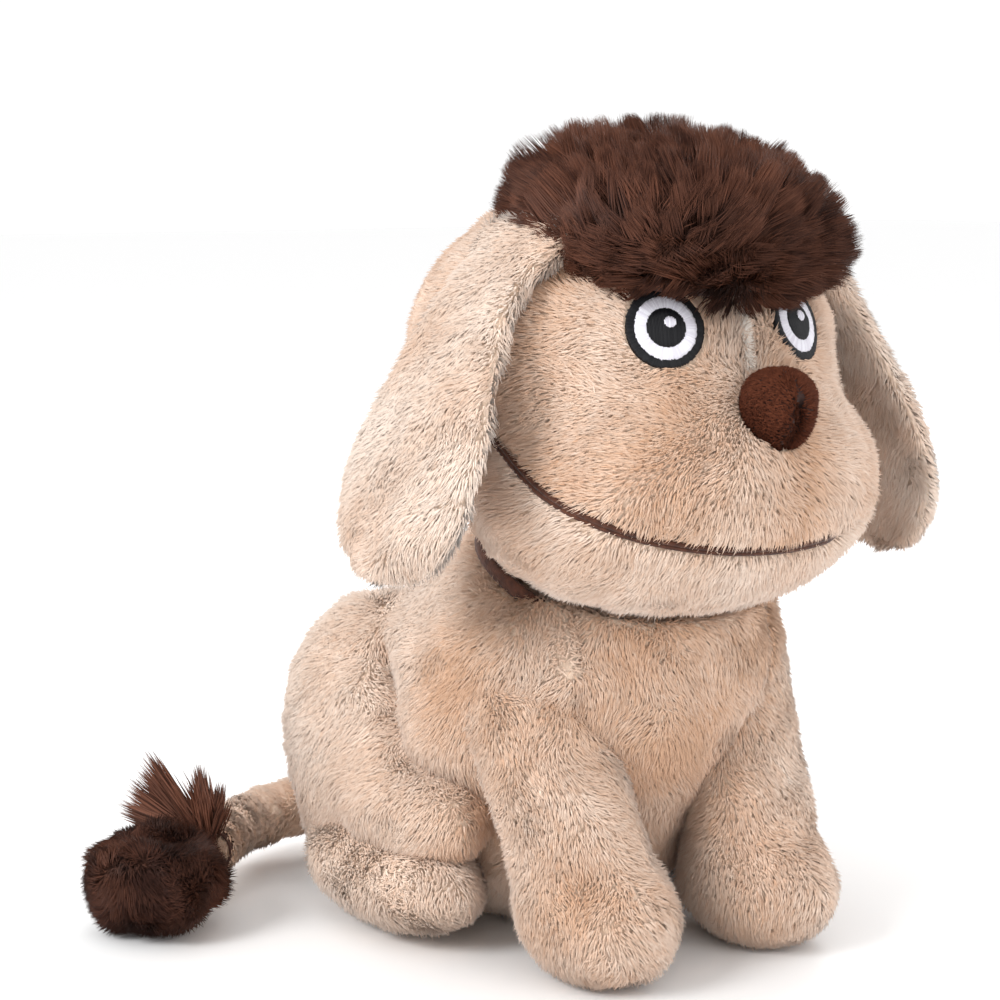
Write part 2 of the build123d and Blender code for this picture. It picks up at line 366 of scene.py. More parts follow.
def cloth(name, dark, light, scale, bump_scale=900.0):
    """A backing cloth: two colours mixed by noise, and a fine bump."""
    material = principled(name, light, 0.85, 0.2, 0.25)
    nodes, links = material.node_tree.nodes, material.node_tree.links
    shader = nodes["Principled BSDF"]
    place = nodes.new("ShaderNodeTexCoord")
    noise = nodes.new("ShaderNodeTexNoise")
    noise.inputs["Scale"].default_value = scale
    noise.inputs["Detail"].default_value = 5.0
    ramp = nodes.new("ShaderNodeValToRGB")
    ramp.color_ramp.elements[0].position = 0.35
    ramp.color_ramp.elements[1].position = 0.68
    ramp.color_ramp.elements[0].color = (*dark, 1)
    ramp.color_ramp.elements[1].color = (*light, 1)
    fine = nodes.new("ShaderNodeTexNoise")
    fine.inputs["Scale"].default_value = bump_scale
    relief = nodes.new("ShaderNodeBump")
    relief.inputs["Strength"].default_value = 0.3
    relief.inputs["Distance"].default_value = 0.0006
    links.new(place.outputs["Object"], noise.inputs["Vector"])
    links.new(place.outputs["Object"], fine.inputs["Vector"])
    links.new(noise.outputs["Fac"], ramp.inputs["Fac"])
    links.new(ramp.outputs["Color"], shader.inputs["Base Color"])
    links.new(fine.outputs["Fac"], relief.inputs["Height"])
    links.new(relief.outputs["Normal"], shader.inputs["Normal"])
    return material


beige_pile = tones("pile_beige", (0.70, 0.435, 0.285), (0.93, 0.77, 0.655), 8, 0.8, 0.3, 0.15)
pale_pile = tones("pile_pale", (0.93, 0.78, 0.66), (0.96, 0.86, 0.77), 2, 0.8, 0.2, 0.15)
brown_pile = tones("pile_brown", (0.036, 0.011, 0.006), (0.20, 0.078, 0.046), 6, 0.5, 0.0, 0.16)
nose_pile = tones("pile_nose", (0.055, 0.014, 0.007), (0.17, 0.052, 0.026), 4, 0.8, 0.0, 0.1)
black_thread = tones("thread_black", (0.006, 0.006, 0.008), (0.012, 0.012, 0.014), 3, 0.5, 0.0, 0.25)
white_thread = tones("thread_white", (0.74, 0.72, 0.80), (0.86, 0.85, 0.92), 3, 0.35, 0.1, 0.5)
# Painted light, in part: the beige backing cloth is the pile's colour made lighter, for light that passes
# through the pale fibres into the gaps between them.
beige_cloth_with_painted_light = cloth("cloth_beige_with_painted_light", (0.88, 0.66, 0.50), (0.95, 0.76, 0.61), 90.0)
brown_cloth = cloth("cloth_brown", (0.036, 0.012, 0.007), (0.070, 0.026, 0.015), 150.0)
nose_cloth = cloth("cloth_nose", (0.020, 0.007, 0.005), (0.045, 0.014, 0.008), 200.0)
felt_cloth = cloth("cloth_felt", (0.050, 0.017, 0.010), (0.105, 0.037, 0.020), 500.0)
panel_cloth = cloth("cloth_panel", (0.50, 0.35, 0.23), (0.66, 0.47, 0.32), 300.0, 1500.0)


# ---------------------------------------------------------------- pile
def scatter(skin, density, seed, keep):
    """Random points on a skin, evenly by area, with the skin's normal at each."""
    verts, tris, normals = skin
    rng = np.random.default_rng(seed)
    a, b, c = verts[tris[:, 0]], verts[tris[:, 1]], verts[tris[:, 2]]
    area = np.linalg.norm(np.cross(b - a, c - a), axis=1) / 2
    count = int(area.sum() * density * FUR_SHARE)
    pick = np.searchsorted(np.cumsum(area) / area.sum(), rng.random(count))
    chosen = tris[np.minimum(pick, len(tris) - 1)]
    u, v = rng.random(count), rng.random(count)
    fold = u + v > 1
    u[fold], v[fold] = 1 - u[fold], 1 - v[fold]
    share = np.stack([1 - u - v, u, v], 1)[:, :, None]
    points = (verts[chosen] * share).sum(1)
    facing = unit((normals[chosen] * share).sum(1))
    kept = keep(points)
    return points[kept], facing[kept]


FIBRE_TRIS = np.array([[0, 2, 1], [0, 3, 2], [0, 1, 3], [1, 2, 4], [2, 3, 4], [3, 1, 4]], np.int32)
PIECE_TRIS = 190000            # the most triangles that one piece of pile holds


def strands(name, base, middle, tip, facing, width, tone, materials):
    """Closed fibres that run from base to tip and are three-sided and widest at middle."""
    direction = unit(tip - base)
    across = unit(np.cross(direction, facing + vec(0.013, 0.007, 0.003)))
    out = np.cross(direction, across)
    cos, sin = circle(3)
    ring = across[:, None, :] * cos[None, :, None] + out[:, None, :] * sin[None, :, None]
    belt = middle[:, None, :] + ring * np.asarray(width)[:, None, None] / 2
    verts = np.concatenate([base[:, None, :], belt, tip[:, None, :]], axis=1)
    soft = unit((ring * 0.4 + facing[:, None, :]).reshape(-1, 3)).reshape(ring.shape)
    end = unit(facing + direction * 0.4)[:, None, :]
    normals = np.concatenate([facing[:, None, :], soft, end], axis=1)
    batch = PIECE_TRIS // len(FIBRE_TRIS)
    pieces = []
    for start in range(0, len(base), batch):
        part = slice(start, min(start + batch, len(base)))
        offset = np.arange(part.stop - start, dtype=np.int32)[:, None, None] * verts.shape[1]
        pieces.append(make_object(f"{name}_{len(pieces) + 1}", verts[part].reshape(-1, 3),
                                  (offset + FIBRE_TRIS[None]).reshape(-1, 3), materials,
                                  np.repeat(tone[part], len(FIBRE_TRIS)), normals[part].reshape(-1, 3)))
    return pieces


def groups(points, size, wobble, seed):
    """The tuft that each point belongs to, in ragged cells of the given size."""
    cell = np.floor(points / size + wobble * ripple_vector(points, size * 3, seed))
    _, group = np.unique(cell, axis=0, return_inverse=True)
    return group.ravel()


def gather(tip, group, pull):
    """Draws the tips of each tuft together."""
    members = np.bincount(group)
    centre = np.stack([np.bincount(group, tip[:, k]) for k in range(3)], 1) / members[:, None]
    return tip * (1 - pull) + centre[group] * pull


def everywhere(points):
    """Keeps every point."""
    return np.ones(len(points), bool)


FIBRE_DEPTH = 0.3              # how far a fibre's root sits inside its skin
FIBRE_FLOOR = 0.3              # no fibre hangs lower than this


def pile(name, skin, flow, seed, keep=everywhere, materials=beige_pile, density=4.7, length=3.5,
         width=0.44, lean=0.95, swirl=0.5, clump=1.4, light=0.0, trim=everywhere):
    """Short combed pile on a skin. flow gives the combing direction at each point, light says how much
    lighter than usual it is, partly the pile's own tone and partly painted sheen and light, and trim says
    which tips may stay."""
    points, facing = scatter(skin, density, seed, keep)
    rng = np.random.default_rng(seed + 1000)
    comb = flow(points) + swirl * ripple_vector(points, 16, seed) + 0.22 * rng.normal(size=points.shape)
    comb = unit(comb - facing * (comb * facing).sum(1)[:, None])
    steep = lean + 0.15 * rng.normal(size=len(points)) + 0.2 * ripple(points, 9, seed + 4)
    steep = np.clip(steep, 0.25, 1.25)[:, None]
    long = length * (0.8 + 0.4 * rng.random(len(points)))[:, None]
    base = points - facing * FIBRE_DEPTH
    middle = base + (facing * np.cos(steep * 0.6) + comb * np.sin(steep * 0.6)) * long * 0.45
    tip = middle + unit(facing * (np.cos(steep) - 0.14) + comb * np.sin(steep)) * long * 0.6
    group = groups(points, clump, 0.35, seed + 5)
    pull = 0.30 * (0.5 + 0.5 * np.clip(ripple(points, 12, seed + 8), -1, 1))[:, None]
    tip = gather(tip, group, pull)
    for ends in (middle, tip):
        ends[:, 2] = np.maximum(ends[:, 2], FIBRE_FLOOR)
    own = np.random.default_rng(seed + 2).random(group.max() + 1)[group]
    tone_and_painted_sheen = light(points) if callable(light) else light
    # Painted sheen and light, in part: the piece's light offset and the slow 26 mm ripple make the pile
    # lighter or darker where its brushed nap catches the light; the tuft and fibre terms are random tone.
    shade = 0.48 + tone_and_painted_sheen + 0.15 * ripple(points, 26, seed + 9) + 0.22 * (own - 0.5)
    shade += 0.07 * rng.normal(size=len(points))
    tone = np.clip((shade * len(materials)).astype(int), 0, len(materials) - 1)
    thick = width * (0.8 + 0.4 * rng.random(len(points)))
    kept = trim(tip)
    return strands(name, base[kept], middle[kept], tip[kept], facing[kept], thick[kept], tone[kept],
                   materials)


def dress(body, pieces, replaced=()):
    """Puts finished pieces on a body and hides the CAD parts that they replace."""
    for piece in pieces:
        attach(piece, body)
    if replaced:
        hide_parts(*replaced)


# ---------------------------------------------------------------- camera, light and floor
CAMERA_TURN = math.radians(-37)
CAMERA_DISTANCE = 560.0
CAMERA_HEIGHT = 190.0
CAMERA_PITCH = math.radians(8.2895)    # how far it looks down
CAMERA_YAW = math.radians(2.5019)      # how far it is turned off the dog's middle
SENSOR = 36.0
LENS = 81.54
FLOOR_REACH = 6000.0
WORLD_STRENGTH = 1.06
LIGHTS = [("key", (-1.3, -0.1, 0.9), 0.7, 13),       # name, place and size in metres, and watts
          ("front", (0.3, -1.5, 0.8), 0.9, 3),
          ("rim", (1.0, 0.7, 0.9), 0.7, 5)]
LIGHT_AIM = vec(0, 0, 0.1)


def add_camera():
    data = bpy.data.cameras.new("camera")
    data.sensor_width = SENSOR
    data.lens = LENS
    data.clip_start = 0.01
    data.clip_end = 20.0
    camera = bpy.data.objects.new("camera", data)
    bpy.context.scene.collection.objects.link(camera)
    away = vec(math.sin(CAMERA_TURN), -math.cos(CAMERA_TURN), 0) * CAMERA_DISTANCE
    camera.location = (away + vec(0, 0, CAMERA_HEIGHT)) * MM
    camera.rotation_euler = (math.pi / 2 - CAMERA_PITCH, 0, CAMERA_TURN + CAMERA_YAW)
    bpy.context.scene.camera = camera


def add_light(name, place, size, power):
    data = bpy.data.lights.new(name, "AREA")
    data.shape = "DISK"
    data.size = size
    data.energy = power
    light = bpy.data.objects.new(name, data)
    bpy.context.scene.collection.objects.link(light)
    light.location = place
    aim = LIGHT_AIM - vec(*place)
    tilt = math.atan2(math.hypot(aim[0], aim[1]), -aim[2])
    light.rotation_euler = (tilt, 0, math.atan2(aim[0], -aim[1]) + math.pi)


def add_stage():
    corners = [vec(x, y, 0) * FLOOR_REACH for x, y in ((-1, -1), (1, -1), (1, 1), (-1, 1))]
    floor = make_object("floor", corners, [[0, 1, 2], [0, 2, 3]],
                        [principled("floor_white", (0.93, 0.93, 0.93), 0.9)])
    world = bpy.data.worlds.new("world")
    bpy.context.scene.world = world
    world.use_nodes = True
    background = world.node_tree.nodes["Background"]
    background.inputs["Color"].default_value = (1, 1, 1, 1)
    background.inputs["Strength"].default_value = WORLD_STRENGTH
    for light in LIGHTS:
        add_light(*light)
    bpy.context.scene.view_settings.view_transform = "Standard"


# ---------------------------------------------------------------- head
def head_front(x, z):
    """The point of the head's cloth straight ahead at x and z."""
    low, high = -95.0, HEAD_CENTRE[1]
    for _ in range(40):
        middle = (low + high) / 2
        outside = head_field(vec(x, middle, z)[None])[0] > 0
        low, high = (middle, high) if outside else (low, middle)
    return vec(x, low, z)


EYES = {side: head_front(side * EYE_X, EYE_Z) for side in SIDES}


def head_flow(p):
    """The pile runs away from the nose, back and down."""
    return unit(p - NOSE[0] - vec(0, 6, 6)) + vec(0, 0.35, -0.25)


def clear_of_eyes(p, radius):
    return np.all([np.linalg.norm(p - eye, axis=1) > radius for eye in EYES.values()], axis=0)


def off_eyes(p):
    return clear_of_eyes(p, EYE_RIM + 0.1)


def on_head(p):
    """Where pile grows: outside the eyes, the nose and the parted lips."""
    off_nose = np.linalg.norm((p - NOSE[0]) / (NOSE[1] + vec(-1.5, 4, -1.0)), axis=1) > 1
    parted = LIP_GAP * (1 - smoothstep(p[:, 0], 18, 30))
    off_lips = np.abs(p[:, 2] - mouth_level(p[:, 1])) > parted
    off_lips |= p[:, 1] > JAW_BACK
    return (head_field(p) > -1.1) & clear_of_eyes(p, EYE_RIM - 0.3) & off_nose & off_lips


def build_head():
    skin = star_skin(upper_head_field, HEAD_CENTRE)
    cover = skin_object("head_skin", skin, beige_cloth_with_painted_light)
    dress("head", [cover],
          ["head_cover_left", "head_cover_right", "head_stuffing"])
    dress("head",
          pile("head_pile", skin, head_flow, 100, on_head, light=-0.16, trim=off_eyes))

    def on_bridge(p):
        return on_head(p) & (np.abs(p[:, 0]) < 1.1) & (p[:, 1] < -35) & (p[:, 2] > 145)
    dress("head",
          pile("bridge_seam", skin, head_flow, 120, on_bridge, pale_pile, density=14, length=3.6,
               lean=0.55))


def build_jaw():
    skin = star_skin(jaw_field, JAW_CENTRE)
    cover = skin_object("jaw_skin", skin, beige_cloth_with_painted_light)
    dress("jaw", [cover], ["jaw_cover", "jaw_stuffing"])

    def on_jaw(p):
        return on_head(p) & (p[:, 1] < JAW_BACK + JAW_OVERLAP - 2)
    dress("jaw", pile("jaw_pile", skin, head_flow, 130, on_jaw, light=0.05))


LINING_CENTRE_Y = -36.0
LINING_HALF = 0.5              # half the lining's thickness


def build_lining(body, name, offset, node):
    """A velour sheet across the mouth that ends between the lips."""
    centre_y = LINING_CENTRE_Y
    cos, sin = circle(160)
    low, high = np.zeros(len(cos)), np.full(len(cos), 90.0)
    for _ in range(24):
        middle = (low + high) / 2
        y = centre_y - middle * cos
        q = np.stack([middle * sin, y, mouth_level(y) + offset], 1)
        edge = 1.0 - 3.6 * smoothstep(q[:, 0], 14, 30)
        inside = (head_field(q) < edge) & (y < JAW_BACK + 2)
        low = np.where(inside, middle, low)
        high = np.where(inside, high, middle)
    shares = np.linspace(0.02, 1, 14)
    rings = []
    faces = [(-LINING_HALF, s) for s in shares] + [(LINING_HALF, s) for s in shares[::-1]]
    for thick, share in faces:
        y = centre_y - low * share * cos
        rings.append(np.stack([low * share * sin, y, mouth_level(y) + offset + thick], 1))
    dress(body, [skin_object(name, ring_skin(np.array(rings)), felt_cloth)], [node])


def build_nose():
    centre, half = NOSE

    def field(p):
        q = p - centre
        q[:, 0] /= np.clip(1 + 0.035 * q[:, 2], 0.55, 1.25)
        seam = 2.8 * np.exp(-(p[:, 0] / 1.1) ** 2) * smoothstep(centre[2] + 4 - p[:, 2], 0, 4)
        return ellipsoid(q, (vec(0, 1.5, 0), half + vec(-1.3, 1.5, 0.2))) + seam + 0.8
    skin = star_skin(field, centre + vec(0, 1, 0), reach=30, level=6)
    cover = skin_object("nose_skin", skin, nose_cloth)
    dress("head", [cover], ["nose_cover", "nose_stuffing"])

    def flow(p):
        return np.sign(p[:, :1]) * vec(1, 0, 0) + 0.2 * unit(p - centre)

    def off_seam(p):
        return (np.abs(p[:, 0]) > 0.8) | (p[:, 2] > centre[2] + 4)
    dress("head",
          pile("nose_pile", skin, flow, 160, off_seam, nose_pile, density=12, length=1.7, width=0.3,
               lean=0.85, swirl=0.25, clump=0.9))


# ---------------------------------------------------------------- eyes
THREAD = 0.23                  # half the width of a satin stitch
THREAD_PITCH = 0.34
THREAD_STEPS = 7
THREAD_SIDES = 6
RIM_INNER = 7.2
WHITE_RING = (4.2, 7.4)
PUPIL = 4.6
GLINT = 1.35
GLINT_PLACE = vec(0.9, 1.2)    # sideways and up from the pupil's middle


def eye_axes(eye):
    """The face's outward, sideways and upward directions at an eye."""
    axes = np.eye(3) * 0.5
    out = head_field(eye + axes) - head_field(eye - axes)
    out /= np.linalg.norm(out)
    across = np.cross(vec(0, 0, 1), out)
    across /= np.linalg.norm(across)
    return out, across, np.cross(out, across)


def thread_tris():
    """The triangles of one closed stitch."""
    index = np.arange(THREAD_SIDES)
    after = (index + 1) % THREAD_SIDES
    tris = []
    for step in range(THREAD_STEPS - 1):
        low, high = step * THREAD_SIDES, (step + 1) * THREAD_SIDES
        tris += [np.stack([low + index, low + after, high + after], 1)]
        tris += [np.stack([low + index, high + after, high + index], 1)]
    fan = np.array([[0, k + 1, k] for k in range(1, THREAD_SIDES - 1)])
    tris += [fan, fan[:, ::-1] + (THREAD_STEPS - 1) * THREAD_SIDES]
    return np.concatenate(tris)


def build_eye(side):
    word = SIDES[side]
    eye = EYES[side]
    out, across, up = eye_axes(eye)

    def on_face(flat, height):
        """Flat eye coordinates laid on the head at a height above its cloth."""
        p = eye + flat[:, :1] * across + flat[:, 1:] * up
        for _ in range(6):
            p = p - out * (head_field(p) - height)[:, None]
        return p

    def threads(name, starts, ends, height, materials):
        """Satin stitches that arch a little from start to end."""
        line = []
        for t in np.linspace(0, 1, THREAD_STEPS):
            arch = THREAD * 0.8 * math.sin(math.pi * t) - 0.15
            line.append(on_face(starts * (1 - t) + ends * t, height + arch))
        line = np.stack(line, 1)
        wide = np.cross(unit(line[:, -1] - line[:, 0]), out)
        cos, sin = circle(THREAD_SIDES)
        ring = wide[:, None, :] * cos[None, :, None] + out * 0.8 * sin[None, :, None]
        verts = line[:, :, None, :] + ring[:, None, :, :] * THREAD
        corner = thread_tris()
        offset = np.arange(len(starts))[:, None, None] * THREAD_STEPS * THREAD_SIDES
        tone = np.random.default_rng(len(starts)).integers(0, len(materials), len(starts))
        return make_object(name, verts.reshape(-1, 3), (offset + corner).reshape(-1, 3),
                           materials, np.repeat(tone, len(corner)))

    def ring_threads(name, inner, outer, height, materials):
        count = int(2 * math.pi * outer / THREAD_PITCH)
        jitter = np.random.default_rng(count).normal(size=(2, count, 1)) * 0.09
        spokes = np.stack(circle(count), 1)
        return threads(name, spokes * (inner + jitter[0]), spokes * (outer + jitter[1]),
                       height, materials)

    def disc_threads(name, radius, centre, height, materials):
        rows = np.arange(-radius + 0.15, radius, THREAD_PITCH)
        half = np.sqrt(np.maximum(radius ** 2 - rows ** 2, 0.01))
        half += np.random.default_rng(len(rows)).normal(size=len(rows)) * 0.06
        return threads(name, np.stack([rows, -half], 1) + centre, np.stack([rows, half], 1) + centre,
                       height, materials)

    def pad(name, radius, height, thick, material):
        spokes = np.stack(circle(72), 1) * radius
        under = [on_face(spokes * share, height - thick) for share in (0.05, 0.5, 1.0)]
        over = [on_face(spokes * share, height) for share in (1.0, 0.75, 0.5, 0.25, 0.05)]
        return skin_object(name, ring_skin(np.array(under + over)), material)

    backing = pad(f"eye_backing_{word}", EYE_RIM - 0.2, 1.0, 1.6, black_thread[1])
    rim = ring_threads(f"eye_rim_threads_{word}", RIM_INNER, EYE_RIM, 1.15, black_thread)
    white = ring_threads(f"eye_white_threads_{word}", *WHITE_RING, 1.25, white_thread)
    pupil = disc_threads(f"eye_pupil_threads_{word}", PUPIL, vec(0, 0), 1.4, black_thread)
    glint = disc_threads(f"eye_glint_threads_{word}", GLINT, GLINT_PLACE, 1.75, white_thread)
    dress("head", [rim, backing], [f"eye_rim_{word}"])
    dress("head", [white], [f"eye_white_{word}"])
    dress("head", [pupil], [f"eye_pupil_{word}"])
    dress("head", [glint], [f"eye_glint_{word}"])


# ---------------------------------------------------------------- hair tuft
def exit_distance(points, direction, form):
    """How far each point is from leaving an ellipsoid."""
    centre, radii = form
    q, d = (points - centre) / radii, direction / radii
    a, b, c = (d * d).sum(1), (q * d).sum(1), (q * q).sum(1) - 1
    return (np.sqrt(np.maximum(b * b - a * c, 0)) - b) / a


TUFT_DENSITY = 9.0
TUFT_WIDTH = 0.30
TUFT_REACH = (4, 20)           # the shortest and longest hair
TUFT_BROW = vec(0, -50, 156)   # the hair is brushed up and back from here
TUFT_EYE_GAP = 9.4             # how far the hair stays from an eye's middle


def build_tuft():
    skin = star_skin(lambda p: ellipsoid(p, TUFT_ROOT), TUFT_ROOT[0], reach=60, level=6)
    base = skin_object("tuft_cloth", skin, brown_cloth)
    dress("head", [base], ["tuft_backing", "tuft_pile"])

    def outside_head(p):
        return (ellipsoid(p, CRANIUM) > -4) & clear_of_eyes(p, 9.0)
    points, facing = scatter(skin, TUFT_DENSITY, 200, outside_head)
    rng = np.random.default_rng(201)
    count = len(points)
    lock = groups(points, 3.2, 0.4, 210)
    locks = lock.max() + 1
    sway = rng.normal(size=(locks, 3))[lock] * 0.26 + 0.25 * ripple_vector(points, 24, 220)
    direction = unit(facing * 0.65 + unit(points - TUFT_BROW) * 0.8 + sway
                     + rng.normal(size=(count, 3)) * 0.07)
    trim = 0.88 + 0.12 * rng.random(count) + 0.09 * rng.normal(size=locks)[lock]
    level = points - np.outer((points - TUFT_TIPS[0]) @ TUFT_SLOPE, vec(0, 0, 1))
    reach = np.clip(exit_distance(level, direction, TUFT_TIPS) * trim, *TUFT_REACH)[:, None]
    base_points = points - facing * 0.8
    middle = base_points + direction * reach * 0.5 + facing * 0.3
    tip = base_points + direction * reach + vec(0, 0, -0.03) * reach
    tip = gather(tip, lock, 0.34)
    shade = (0.40 + 0.16 * rng.normal(size=count) + 0.14 * rng.normal(size=locks)[lock]
             + 0.10 * ripple(points, 20, 230))
    tone = np.clip((shade * len(brown_pile)).astype(int), 0, len(brown_pile) - 1)
    kept = clear_of_eyes(tip, TUFT_EYE_GAP) & clear_of_eyes(middle, TUFT_EYE_GAP)
    hair = strands("tuft_hair", base_points[kept], middle[kept], tip[kept], facing[kept],
                   TUFT_WIDTH * (0.7 + 0.6 * rng.random(kept.sum())), tone[kept], brown_pile)
    dress("head", hair)


# ---------------------------------------------------------------- ears
EAR_ARC_CENTRE = (-51.0, 79.0)     # x and z, for the left ear
EAR_ARC_RADIUS = 130.0
EAR_ROOT_X = 36.0
EAR_TIP_Z = {-1: 100.5, 1: 94.5}   # the right ear hangs a little shorter
EAR_Y = -22.0
EAR_TIP_ROUND = 20.0


def ear_line(side, samples):
    """The middle of the ear, from the head's side to the tip in one arc."""
    arc_x, arc_z = EAR_ARC_CENTRE
    root = math.acos((EAR_ROOT_X - arc_x) / EAR_ARC_RADIUS)
    turns = np.linspace(root, math.asin((EAR_TIP_Z[side] - arc_z) / EAR_ARC_RADIUS), samples)
    places = np.stack([side * (arc_x + EAR_ARC_RADIUS * np.cos(turns)), np.full(samples, EAR_Y),
                       arc_z + EAR_ARC_RADIUS * np.sin(turns)], 1)
    return places, unit(np.gradient(places, axis=0))


def build_ear(side):
    word = SIDES[side]
    places, directions = ear_line(side, 90)
    shares = np.linspace(0, 1, len(places))
    long = np.linalg.norm(np.diff(places, axis=0), axis=1).sum()
    wide = vec(0, 1, 0)
    x, z = circle(72)
    z = np.sign(z) * np.abs(z) ** 0.8
    rings = []
    for place, direction, s in zip(places, directions, shares):
        broad = 11.5 + 10.0 * smoothstep(s, 0.15, 0.7) + 3.5 * smoothstep(-s, -0.15, 0)
        to_tip = min((1 - s) * long / EAR_TIP_ROUND, 1.0)
        broad *= math.sqrt(max(1 - (1 - to_tip) ** 2, 0.0004))
        thick = min(3.4, 0.5 + broad * 0.3) * (0.88 + 0.12 * math.sin(9 * s))
        normal = np.cross(direction, wide) * side
        curl = (1.4 + 2.2 * (x < 0)) * x ** 2 * smoothstep(s, 0.15, 0.6)
        rings.append(place + wide * (broad * x)[:, None] + normal * (thick * z - curl)[:, None])
    rings = np.array(rings)
    rings[:, :, 0] += side * 0.6 * ripple(rings.reshape(-1, 3), 26, 60 + side).reshape(rings.shape[:2])
    skin = ring_skin(rings)
    cover = skin_object(f"ear_skin_{word}", skin, beige_cloth_with_painted_light)
    dress(f"ear_{word}", [cover],
          [f"ear_outer_panel_{word}", f"ear_inner_panel_{word}", f"ear_padding_{word}"])

    def flow(p):
        nearest = np.argmin(np.abs(p[:, None, 2] - places[None, :, 2]), axis=1)
        return directions[nearest] * 1.2
    # Painted sheen and light: the ears' pile is set lighter than the rest, for the nap that lies combed away
    # and catches the light.
    dress(f"ear_{word}",
          pile(f"ear_pile_{word}", skin, flow, 300 + side, length=3.8, lean=1.0, light=0.20))


# ---------------------------------------------------------------- torso, neck and legs
def combed(direction):
    """A pile flow that is the same everywhere."""
    return lambda p: np.tile(direction, (len(p), 1))


def build_torso():
    skin = star_skin(torso_field, vec(0, 14, 50))
    cover = skin_object("torso_skin", skin, beige_cloth_with_painted_light)
    dress("torso", [cover],
          ["body_side_left", "body_side_right", "chest_panel", "torso_stuffing", "bean_pouch",
           "bean_filling", "haunch_cover_left", "haunch_cover_right", "haunch_stuffing_left",
           "haunch_stuffing_right"])

    def outside(p):
        return (p[:, 2] > 2.2) & (head_shape(p) > 0.4)

    # Painted light: the pile is lighter towards the back and darker at the chest, for how the light falls on
    # the body.
    def painted_light_on_back(p):
        return 0.40 * smoothstep(p[:, 1], -12, 26) - 0.25
    dress("torso",
          pile("torso_pile", skin, combed(vec(0, 0.15, -1)), 400, outside, light=painted_light_on_back))
    base = frame["nodes"]["base_panel"]
    base.data.materials.clear()
    base.data.materials.append(panel_cloth)


NECK = (vec(0, -2, 106), vec(31, 24, 20))
BAND_RADIUS = 35.6
BAND_HEIGHT = 5.0              # above the neck's own plane
BAND_HALF = (1.1, 2.2)         # half its thickness and half its width


def build_neck():
    skin = star_skin(lambda p: ellipsoid(p, NECK), NECK[0], reach=60, level=6)
    cover = skin_object("neck_skin", skin, beige_cloth_with_painted_light)
    dress("neck", [cover], ["neck_cover", "neck_stuffing"])

    def between(p):
        return (head_field(p) > -4) & (torso_field(p) > -4) & (p[:, 1] > 0)
    dress("neck", pile("neck_pile", skin, combed(vec(0, 0.2, -1)), 420, between))
    across = vec(1, 0, 0)
    forward = np.cross(NECK_NORMAL, across)
    cos, sin = circle(180)
    around = cos[:, None] * across + sin[:, None] * forward
    rings = []
    # The band draws in under the chin, where the jaw rests on the chest, and behind, where it hugs the neck.
    hidden = smoothstep(-around[:, 1], 0.45, 0.75)[:, None]
    behind = smoothstep(around[:, 1], 0.15, 0.85)[:, None]
    for turn in np.linspace(0, 2 * math.pi, 17):
        radius = BAND_RADIUS + BAND_HALF[0] * math.cos(turn) - 8 * hidden - 6 * behind
        height = BAND_HEIGHT + BAND_HALF[1] * math.sin(turn) - 3 * behind
        rings.append(NECK_CENTRE + vec(0, 2, 0) + radius * around + height * NECK_NORMAL)
    band = skin_object("neck_band", ring_skin(np.array(rings), capped=False), felt_cloth)
    dress("neck", [band], ["neck_collar"])


def build_foreleg(side):
    word = SIDES[side]
    field, centre = foreleg_form(side)
    skin = star_skin(field, centre, level=6)
    cover = skin_object(f"foreleg_skin_{word}", skin, beige_cloth_with_painted_light)
    dress(f"foreleg_{word}", [cover],
          [f"foreleg_cover_{word}", f"foreleg_stuffing_{word}"])

    def outside(p):
        return torso_field(p) > -5.0
    dress(f"foreleg_{word}",
          pile(f"foreleg_pile_{word}", skin, combed(vec(0, -0.25, -1)), 500 + side, outside,
               light=-0.08))


def build_hind_foot(side):
    word = SIDES[side]
    field, centre = hind_foot_form(side)
    skin = star_skin(field, centre, level=6)
    cover = skin_object(f"hind_foot_skin_{word}", skin, beige_cloth_with_painted_light)
    dress(f"hind_foot_{word}", [cover],
          [f"hind_foot_cover_{word}", f"hind_foot_stuffing_{word}"])

    def outside(p):
        return torso_field(p) > -3.0
    dress(f"hind_foot_{word}",
          pile(f"hind_foot_pile_{word}", skin, combed(vec(0, -1, -0.4)), 600 + side, outside,
               light=0.10))


# ---------------------------------------------------------------- tail
TAIL_MIDDLE = vec(-50, 90, 13)
TAIL_END = vec(-76, 65, 15)
TAIL_ROOT = 8.8                # the radius of the round end that sits against the rump
TASSEL = (vec(-96, 56, 13.2), vec(17.5, 17.5, 12.4))
FAN_BUNDLES = 15
FAN_FIBRES = 1300
FAN_WIDTH = 0.42
WINDINGS = 7
WINDING_PITCH = 0.62
WINDING_RADIUS = 5.5
WINDING_THREAD = 0.36          # the thread's radius


def build_tail():
    root = joint_point("tail_swing") + vec(0, -2, 0)
    places, directions = along_curve([root, TAIL_MIDDLE, TAIL_END], 70)
    cos, sin = circle(40)

    def ring(place, direction, radius):
        side = np.cross(direction, vec(0, 0, 1))
        up = np.cross(side, direction)
        return place + radius * (cos[:, None] * side + sin[:, None] * up)
    rings = []
    for turn in np.linspace(-1.45, -0.1, 8):
        place = root + TAIL_ROOT * math.sin(turn) * directions[0]
        rings.append(ring(place, directions[0], TAIL_ROOT * math.cos(turn)))
    for place, direction, s in zip(places, directions, np.linspace(0, 1, len(places))):
        radius = TAIL_ROOT - 2.2 * smoothstep(s, 0, 0.3) - 1.4 * smoothstep(s, 0.4, 1)
        radius += 0.2 * math.sin(60 * s)
        rings.append(ring(place, direction, radius))
    skin = ring_skin(np.array(rings))
    cover = skin_object("tail_skin", skin, beige_cloth_with_painted_light)
    dress("tail", [cover], ["tail_cover", "tail_stuffing"])

    def flow(p):
        nearest = np.argmin(((p[:, None] - places[None]) ** 2).sum(2), axis=1)
        return directions[nearest]
    dress("tail", pile("tail_pile", skin, flow, 700, length=3.0, lean=1.05, light=-0.1))
    return places[-1], directions[-1]


